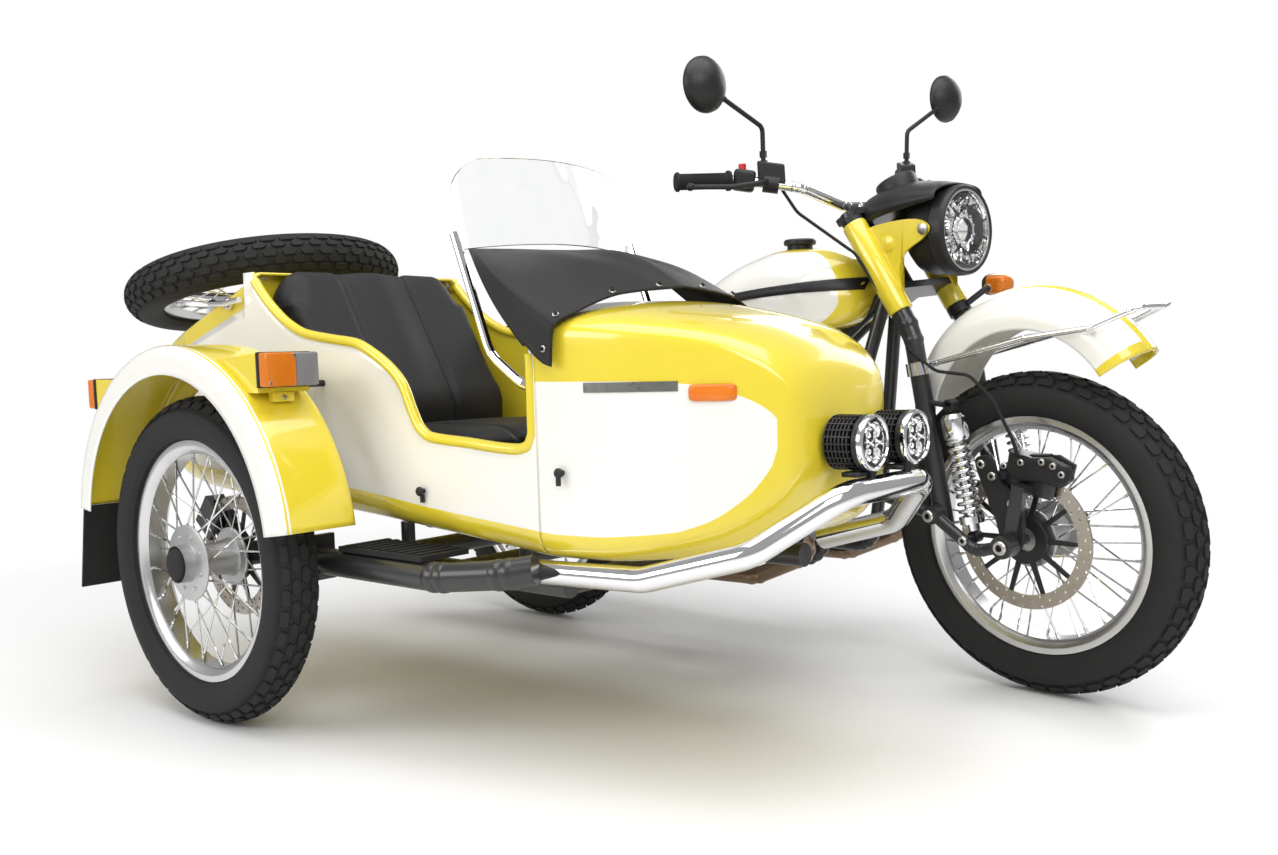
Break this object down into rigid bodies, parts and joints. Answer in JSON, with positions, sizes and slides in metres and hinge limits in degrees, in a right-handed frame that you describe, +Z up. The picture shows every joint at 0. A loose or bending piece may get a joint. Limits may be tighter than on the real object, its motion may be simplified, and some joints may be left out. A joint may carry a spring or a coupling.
{
  "type": "motorcycle with sidecar",
  "caption": "Flat-twin motorcycle with leading-link fork and a passenger sidecar on its right, with screen, apron, boot lid and a spare wheel.",
  "frame": {"origin": "middle of the footprint on the ground, under the middle of the bounding box", "axes": "+X forward, +Y to the rider's left, +Z up"},
  "size_m": [2.4338, 1.7296, 1.4178],
  "materials": {
    "paint_yellow": "gloss",
    "black_metal": "semi-gloss",
    "alloy": "cast",
    "chrome": "polished",
    "pipe_steel": "heat tinted",
    "vinyl": "matt",
    "rubber": "matt",
    "tyre": "matt",
    "clear": "clear",
    "lens": "clear",
    "tail": "clear",
    "black_plastic": "satin",
    "wheel_alloy": "satin"
  },
  "bodies": {
    "chassis": {"frame": "black_metal", "engine": "alloy", "cylinders": "alloy", "exhaust": "pipe_steel", "fuel_tank": "paint_yellow", "tank_fittings": "black_plastic", "saddle": "vinyl", "rear_fender": "paint_yellow", "tail_lamp": "tail", "swingarm": "black_metal", "rear_shocks": "chrome", "air_box": "black_plastic", "foot_controls": "black_metal", "sidecar_frame": "black_metal", "sidecar_suspension": "black_metal", "sidecar_tub": "paint_yellow", "sidecar_nose": "paint_yellow", "seat_cushion": "vinyl", "seat_back": "vinyl", "windshield": "clear", "windshield_frame": "chrome", "apron": "vinyl", "step_bar": "black_metal", "step_mat": "rubber", "bumper": "chrome", "fog_lamps": "black_metal", "sidecar_fender": "paint_yellow", "sidecar_lamps": "lens", "mud_flap": "rubber", "lid_hinge": "black_metal"},
    "steering": {"fork": "black_metal", "fork_covers": "paint_yellow", "leading_arms": "black_metal", "front_shocks": "chrome", "front_fender": "paint_yellow", "fender_rail": "chrome", "headlamp": "black_metal", "headlamp_glass": "clear", "instrument_cowl": "black_plastic", "handlebar": "chrome", "hand_controls": "black_plastic", "mirrors": "black_plastic", "front_indicators": "lens"},
    "lid": {"boot_lid": "paint_yellow", "spare_carrier": "black_metal", "spare_tyre": "tyre", "spare_rim": "wheel_alloy"},
    "front_wheel": {"front_tyre": "tyre", "front_rim": "wheel_alloy"},
    "rear_wheel": {"rear_tyre": "tyre", "rear_rim": "wheel_alloy"},
    "sidecar_wheel": {"sidecar_tyre": "tyre", "sidecar_rim": "wheel_alloy"}
  },
  "joints": [
    {"name": "steering", "type": "hinge", "parent": "chassis", "child": "steering", "pos_m": [0.49565, 0.39718, 0.978], "axis": [-0.5, 0, 0.866], "range_deg": [-29.3, 46.7]},
    {"name": "front_wheel_spin", "type": "hinge", "parent": "steering", "child": "front_wheel", "pos_m": [0.87553, 0.39535, 0.34393], "axis": [0.131, 0.9885, 0.0756], "continuous": true},
    {"name": "rear_wheel_spin", "type": "hinge", "parent": "chassis", "child": "rear_wheel", "pos_m": [-0.59435, 0.39718, 0.344], "axis": [0, 1, 0], "continuous": true},
    {"name": "sidecar_wheel_spin", "type": "hinge", "parent": "chassis", "child": "sidecar_wheel", "pos_m": [-0.42035, -0.77682, 0.344], "axis": [0, 1, 0], "continuous": true},
    {"name": "boot_lid_hinge", "type": "hinge", "parent": "chassis", "child": "lid", "pos_m": [-0.99835, -0.31482, 0.745], "axis": [0, -1, 0], "range_deg": [0, 70]}
  ]
}
